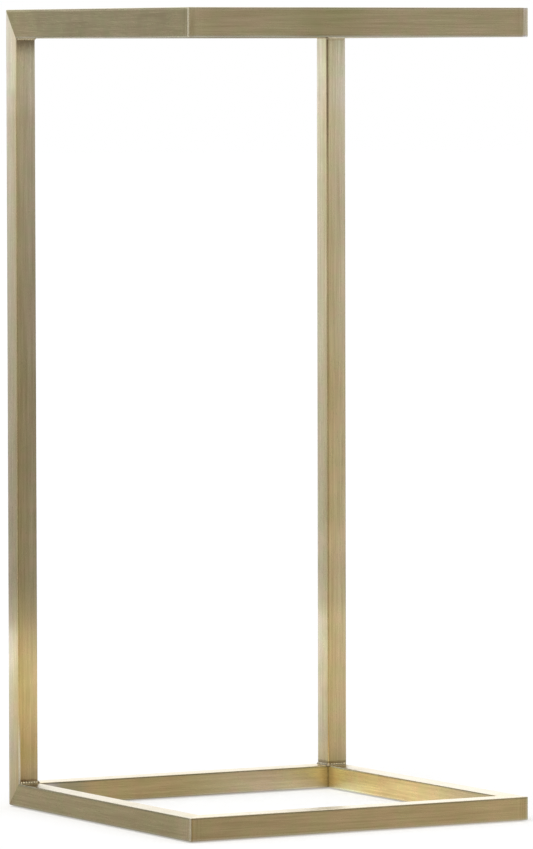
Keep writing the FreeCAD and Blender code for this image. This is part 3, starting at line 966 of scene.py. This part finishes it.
def bead_mesh(bm, cuts, leg, sink, manner):
    """Sweep a rippled bead through its cuts.

    A cut is its root, the ways of its two legs, its size, how far along the bead it lies, and the least
    painted shade on it.
    """
    layer = bm.verts.layers.float.get(BEAD_SHADE_ATTRIBUTE) or bm.verts.layers.float.new(BEAD_SHADE_ATTRIBUTE)
    ripple = bpy.context.scene.table_welds.ripple * manner["ripple"]
    along_scale, x_scale, z_scale = WAVER_SCALES
    rings = []
    for root, first, second, size, along, least_shade in cuts:
        waver = noise.noise(Vector((along * along_scale, root.x * x_scale, root.z * z_scale)))
        width = leg * size * (1 + manner["wander"] * waver)
        profile = bead_profile(width, ripple * size, along, manner["painted_shade"])
        reach = leg * size
        profile += [(-sink, reach, 0.0), (-sink, -sink, 0.0), (reach, -sink, 0.0)]
        ring = []
        for a, b, bead_shade in profile:
            vertex = bm.verts.new(root + first * a + second * b)
            vertex[layer] = max(bead_shade, manner["haze"], least_shade)
            ring.append(vertex)
        rings.append(ring)
    for ring, following in zip(rings, rings[1:]):
        for i in range(len(ring)):
            j = (i + 1) % len(ring)
            face = bm.faces.new((ring[i], ring[j], following[j], following[i]))
            face.smooth = True
    bm.faces.new(rings[0])
    bm.faces.new(reversed(rings[-1]))


def end_taper(along, total, reach):
    """Size of a bead near its two ends, where it runs out round."""
    near = min(along, total - along) / reach
    return math.sqrt(max(LEAST_TAPER, 1 - (1 - min(1.0, near)) ** 2))


def post_bead_cuts(side, level, upward, leg, second_size):
    """Cuts of the L shaped bead round the inner corner of a post. Its second leg may be slighter."""
    turn = Vector((side * inner_half_width, post_front, level)) + Vector((side * ARRIS, ARRIS, 0))
    reach = tube_side - ARRIS
    first_leg, length_one = seam_stations(
        [Vector((side * (inner_half_width + reach), post_front, level)),
         Vector((side * (inner_half_width + ARRIS), post_front, level))], POST_CUT)
    second_leg, length_two = seam_stations(
        [Vector((side * inner_half_width, post_front + ARRIS, level)),
         Vector((side * inner_half_width, post_front + reach, level))], POST_CUT)
    bend = ARRIS * math.pi / 2
    total = length_one + bend + length_two
    cuts = [(place, Vector((0, -1, 0)), along) for place, along in first_leg]
    for i in range(1, TURN_STEPS):
        angle = math.pi / 2 * i / TURN_STEPS
        way = Vector((-side * math.sin(angle), -math.cos(angle), 0))
        cuts.append((turn + way * ARRIS, way, length_one + bend * i / TURN_STEPS))
    cuts += [(place, Vector((-side, 0, 0)), length_one + bend + along) for place, along in second_leg]

    finished = []
    for place, way, along in cuts:
        share = min(1.0, max(0.0, (along - length_one) / bend))
        size = end_taper(along, total, POST_TAPER * leg) * (1 + (second_size - 1) * share)
        turning = length_one - TURN_MARGIN < along < length_one + bend + TURN_MARGIN
        finished.append((place, way, Vector((0, 0, upward)), size, along, TURN_SHADE if turning else 0.0))
    return finished


def post_bead(side_name, end_name, level, upward):
    """The bead round a post at one level, in place of its plain node."""
    node_name = f"{side_name}_{end_name}_weld"
    manner = BEADS[f"{side_name}_{end_name}"]
    low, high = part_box(node_name)
    leg = (high.z - level) if upward > 0 else (level - low.z)
    bm = bmesh.new()
    cuts = post_bead_cuts(SIDES[side_name], level, upward, leg, manner["second_size"])
    bead_mesh(bm, cuts, leg / BEAD_SPREAD, POST_SINK, manner)
    new_piece(f"{end_name}_bead_{side_name}", bm, bpy.data.materials["weld_bead_brass"],
              node_name)


def tack_bead(bm, low, high):
    """One tack weld in the corner between a rail and the underside of a ledge bar."""
    size, middle = high - low, (low + high) / 2
    along_axis, across_axis = (X_AXIS, Y_AXIS) if size.x > size.y else (Y_AXIS, X_AXIS)
    outward = Vector((0, 0, 0))
    outward[across_axis] = -math.copysign(1, middle[across_axis])
    start = Vector((0, 0, high.z))
    start[across_axis] = high[across_axis] if middle[across_axis] > 0 else low[across_axis]
    end = start.copy()
    start[along_axis], end[along_axis] = low[along_axis], high[along_axis]
    stations, total = seam_stations([start, end], TACK_CUT)
    leg = size.z
    cuts = [(place, outward, Vector((0, 0, -1)), end_taper(along, total, leg * TACK_TAPER), along, 0.0)
            for place, along in stations]
    bead_mesh(bm, cuts, leg / BEAD_SPREAD, TACK_SINK, TACK)


def loose_parts(mesh):
    """The corners of the box round each loose part of a mesh."""
    bm = bmesh.new()
    bm.from_mesh(mesh)
    bmesh.ops.remove_doubles(bm, verts=bm.verts, dist=1e-6)
    left, boxes = set(bm.verts), []
    while left:
        queue, part = [left.pop()], []
        while queue:
            vertex = queue.pop()
            part.append(vertex.co.copy())
            for edge in vertex.link_edges:
                other = edge.other_vert(vertex)
                if other in left:
                    left.remove(other)
                    queue.append(other)
        low = Vector(min(p[i] for p in part) for i in range(3))
        high = Vector(max(p[i] for p in part) for i in range(3))
        boxes.append((low, high))
    bm.free()
    return sorted(boxes, key=lambda pair: tuple(pair[0]))


def softened_bar(low, high):
    """A flat bar with softly rounded edges."""
    bm = bmesh.new()
    bmesh.ops.create_cube(bm, size=1.0)
    centre, size = (low + high) / 2, high - low
    for vertex in bm.verts:
        vertex.co = centre + Vector(vertex.co[i] * size[i] for i in range(3))
    bmesh.ops.bevel(bm, geom=list(bm.edges), offset=LEDGE_EDGE, segments=LEDGE_EDGE_STEPS, profile=0.5,
                    affect="EDGES")
    for face in bm.faces:
        face.smooth = True
    return bm


# ---- stage
def seen_through(path):
    """Mask of what the camera sees, directly or through glass, and mask of what shows in gloss."""
    clear = larger(path["Is Camera Ray"], path["Is Transmission Ray"])
    return clear, maths("GREATER_THAN", path["Is Glossy Ray"], clear)


def light_world(scene, studio):
    """White all round for the camera, a studio room for gloss, and an even ambient.

    In gloss the room has a pale wall, a grey ceiling and a white backdrop behind the table, and its
    dim end is warmer.
    """
    world = bpy.data.worlds.new("studio_world")
    tree = empty_tree(world)
    clear, gloss = seen_through(add(tree, "ShaderNodeLightPath").outputs)
    way = add(tree, "ShaderNodeTexCoord").outputs["Generated"]
    rise = separate(way)[Z_AXIS]
    pale = ramp(vector_maths("DOT_PRODUCT", way, PALE_WALL), *ROOM["pale"])
    behind = ramp(vector_maths("DOT_PRODUCT", way, BACKDROP), *ROOM["behind"])
    wall = ramp(pale, 0, 1, studio.dim_wall, studio.pale_wall, smooth=False)
    above = ramp(rise, *ROOM["above"])
    room = scaled(above, by=maths("SUBTRACT", studio.ceiling, wall), onto=wall)
    room = larger(room, ramp(rise, *ROOM["overhead"], 0.0, studio.overhead))
    room = larger(room, times(behind, studio.backdrop))
    tint = blend(larger(pale, behind), studio.dim_tint, studio.pale_tint)
    strength = scaled(flipped(larger(clear, gloss)), by=studio.ambient, onto=clear)
    light = add(tree, "ShaderNodeBackground", {
        "Color": blend(gloss, WHITE, tint), "Strength": scaled(gloss, by=room, onto=strength)})
    add(tree, "ShaderNodeOutputWorld", {"Surface": light.outputs[0]})
    scene.world = world


def floor_in_gloss(tree, studio):
    """Brightness of the floor in gloss: bright inside the base, dim round it, a wide pool, then dim."""
    place = add(tree, "ShaderNodeTexCoord").outputs["Object"]
    across = separate(vector_maths("ABSOLUTE", place))
    square = larger(across[X_AXIS], across[Y_AXIS])
    side = vector_maths("DOT_PRODUCT", place, PALE_WALL)
    inside = ramp(square, inner_half_width - INNER_FADE, half_width, studio.inner_floor, 0.0)
    far = ramp(side, *FLOOR["far"], studio.dim_floor, studio.pale_floor)
    far = maths("ADD", far, ramp(side, *FLOOR["farthest"]))
    far = times(far, scaled(between(side, FLOOR, "dip"), by=DIP_DEPTH, onto=1.0))
    pool = ramp(square, half_width, POOL_WIDTH, studio.near_floor, 1.0)
    outside = scaled(ramp(square, *FLOOR["pool_end"]), by=maths("SUBTRACT", far, pool), onto=pool)
    outside = larger(outside, times(between(side, FLOOR, "strip"), studio.strip))
    return larger(inside, outside)


def floor_paint(studio):
    """Pale floor that reads as the white background and keeps a soft shadow."""
    material = bpy.data.materials.new("studio_floor")
    tree = empty_tree(material)
    clear, gloss = seen_through(add(tree, "ShaderNodeLightPath").outputs)
    matt = add(tree, "ShaderNodeBsdfDiffuse", {"Color": FLOOR_GREY})
    glow = add(tree, "ShaderNodeEmission", {"Color": WHITE, "Strength": times(clear, FLOOR_GLOW)})
    both = add(tree, "ShaderNodeAddShader", {0: matt.outputs[0], 1: glow.outputs[0]})
    shown = add(tree, "ShaderNodeEmission", {"Color": WHITE, "Strength": floor_in_gloss(tree, studio)})
    mixed = add(tree, "ShaderNodeMixShader", {0: gloss, 1: both.outputs[0], 2: shown.outputs[0]})
    add(tree, "ShaderNodeOutputMaterial", {"Surface": mixed.outputs[0]})
    return material


def lay_floor(studio):
    """A round pale floor, far wider than the view."""
    bm = bmesh.new()
    bmesh.ops.create_circle(bm, cap_ends=True, radius=FLOOR_RADIUS, segments=FLOOR_SEGMENTS)
    for vertex in bm.verts:
        vertex.co.z = floor_level
    mesh_object("studio_floor", bm, floor_paint(studio))


def hang_lamp(scene):
    """One wide soft lamp from high on the left."""
    data = bpy.data.lights.new("soft_lamp", "SUN")
    data.angle = LAMP_ANGLE
    data.energy = LAMP_STRENGTH
    lamp = bpy.data.objects.new("soft_lamp", data)
    lamp.rotation_euler = LAMP_WAY.to_track_quat("-Z", "Y").to_euler()
    scene.collection.objects.link(lamp)


def place_camera(scene, studio):
    """The camera, level with the top frame and looking slightly down at the whole table."""
    turn, distance = studio.camera_azimuth, studio.camera_distance
    rise = studio.camera_height - CAMERA_TARGET.z
    offset = Vector((math.sin(turn) * distance, -math.cos(turn) * distance, rise))
    data = bpy.data.cameras.new("camera")
    data.lens = studio.lens
    data.sensor_width = SENSOR_WIDTH
    camera = bpy.data.objects.new("camera", data)
    camera.location = CAMERA_TARGET + offset
    camera.rotation_euler = (-offset).to_track_quat("-Z", "Y").to_euler()
    camera.rotation_euler.rotate_axis("Z", CAMERA_ROLL)
    scene.collection.objects.link(camera)
    scene.camera = camera


# ---- operators
class BrushTubes(bpy.types.Operator):
    """Brush and lacquer the ten tubes of the frame"""
    bl_idname = "side_table.brush_tubes"
    bl_label = "Brush the Tubes"

    def execute(self, context):
        for node_name in TUBES:
            set_material(node_name, brushed_brass(node_name))
        return {"FINISHED"}


class WeldPosts(bpy.types.Operator):
    """Lay the rippled foot beads and the dressed head beads of both posts"""
    bl_idname = "side_table.weld_posts"
    bl_label = "Weld the Posts"

    def execute(self, context):
        weld_brass()
        for side_name in SIDES:
            post_bead(side_name, "foot", base_top, 1)
            post_bead(side_name, "head", top_frame_bottom, -1)
        return {"FINISHED"}


class TackLedges(bpy.types.Operator):
    """Lay the eight tack welds that hold the ledge bars"""
    bl_idname = "side_table.tack_ledges"
    bl_label = "Tack the Ledges"

    def execute(self, context):
        bm = bmesh.new()
        for low, high in loose_parts(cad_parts["ledge_tack_welds"].data):
            tack_bead(bm, low, high)
        new_piece("ledge_tack_beads", bm, bpy.data.materials["weld_bead_brass"],
                  "ledge_tack_welds")
        return {"FINISHED"}


class LayLedges(bpy.types.Operator):
    """Lay the four ledge bars with softened edges"""
    bl_idname = "side_table.lay_ledges"
    bl_label = "Lay the Ledges"

    def execute(self, context):
        for name, axis in LEDGES.items():
            bar = softened_bar(*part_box(f"ledge_{name}"))
            new_piece(f"ledge_bar_{name}", bar, bar_brass(f"bar_brass_{name}", axis),
                      f"ledge_{name}")
        return {"FINISHED"}


class GlazeTop(bpy.types.Operator):
    """Finish the glass pane and the bumpers under it"""
    bl_idname = "side_table.glaze_top"
    bl_label = "Glaze the Top"

    def execute(self, context):
        set_material("glass_pane", pane_glass())
        gel = bumper_gel()
        for corner in CORNERS:
            set_material(f"bumper_{corner}", gel)
        return {"FINISHED"}


class FitGlides(bpy.types.Operator):
    """Finish the four push-in glides"""
    bl_idname = "side_table.fit_glides"
    bl_label = "Fit the Glides"

    def execute(self, context):
        nylon = glide_nylon()
        for corner in CORNERS:
            set_material(f"glide_{corner}", nylon)
        return {"FINISHED"}


class SetStudio(bpy.types.Operator):
    """Set the floor, the background, the lamp and the camera"""
    bl_idname = "side_table.set_studio"
    bl_label = "Set the Studio"

    def execute(self, context):
        scene = context.scene
        scene.view_settings.view_transform = "Standard"
        studio = scene.table_studio
        light_world(scene, studio)
        lay_floor(studio)
        hang_lamp(scene)
        place_camera(scene, studio)
        return {"FINISHED"}


# ---- panel and registration
OPERATORS = (BrushTubes, WeldPosts, TackLedges, LayLedges, GlazeTop, FitGlides, SetStudio)
SETTINGS = {
    "table_brass": BrassSettings,
    "table_welds": WeldSettings,
    "table_trim": TrimSettings,
    "table_studio": StudioSettings,
}


class SideTablePanel(bpy.types.Panel):
    """Sizes, colours and steps of the side table"""
    bl_idname = "VIEW3D_PT_side_table"
    bl_label = "Side Table"
    bl_space_type = "VIEW_3D"
    bl_region_type = "UI"
    bl_category = "Side Table"

    def draw(self, context):
        for name, settings in SETTINGS.items():
            box = self.layout.box()
            box.label(text=settings.__doc__)
            for field in settings.__annotations__:
                box.prop(getattr(context.scene, name), field)
        for operator in OPERATORS:
            self.layout.operator(operator.bl_idname)


def register():
    """Register the settings, the operators and the panel."""
    for settings in SETTINGS.values():
        bpy.utils.register_class(settings)
    for name, settings in SETTINGS.items():
        setattr(bpy.types.Scene, name, PointerProperty(type=settings))
    for operator in OPERATORS:
        bpy.utils.register_class(operator)
    bpy.utils.register_class(SideTablePanel)


def unregister():
    """Undo register."""
    bpy.utils.unregister_class(SideTablePanel)
    for operator in reversed(OPERATORS):
        bpy.utils.unregister_class(operator)
    for name, settings in SETTINGS.items():
        delattr(bpy.types.Scene, name)
        bpy.utils.unregister_class(settings)


def main():
    """Build every piece."""
    register()
    bpy.ops.side_table.brush_tubes()
    bpy.ops.side_table.weld_posts()
    bpy.ops.side_table.tack_ledges()
    bpy.ops.side_table.lay_ledges()
    bpy.ops.side_table.glaze_top()
    bpy.ops.side_table.fit_glides()
    bpy.ops.side_table.set_studio()


if __name__ == "__main__":
    main()
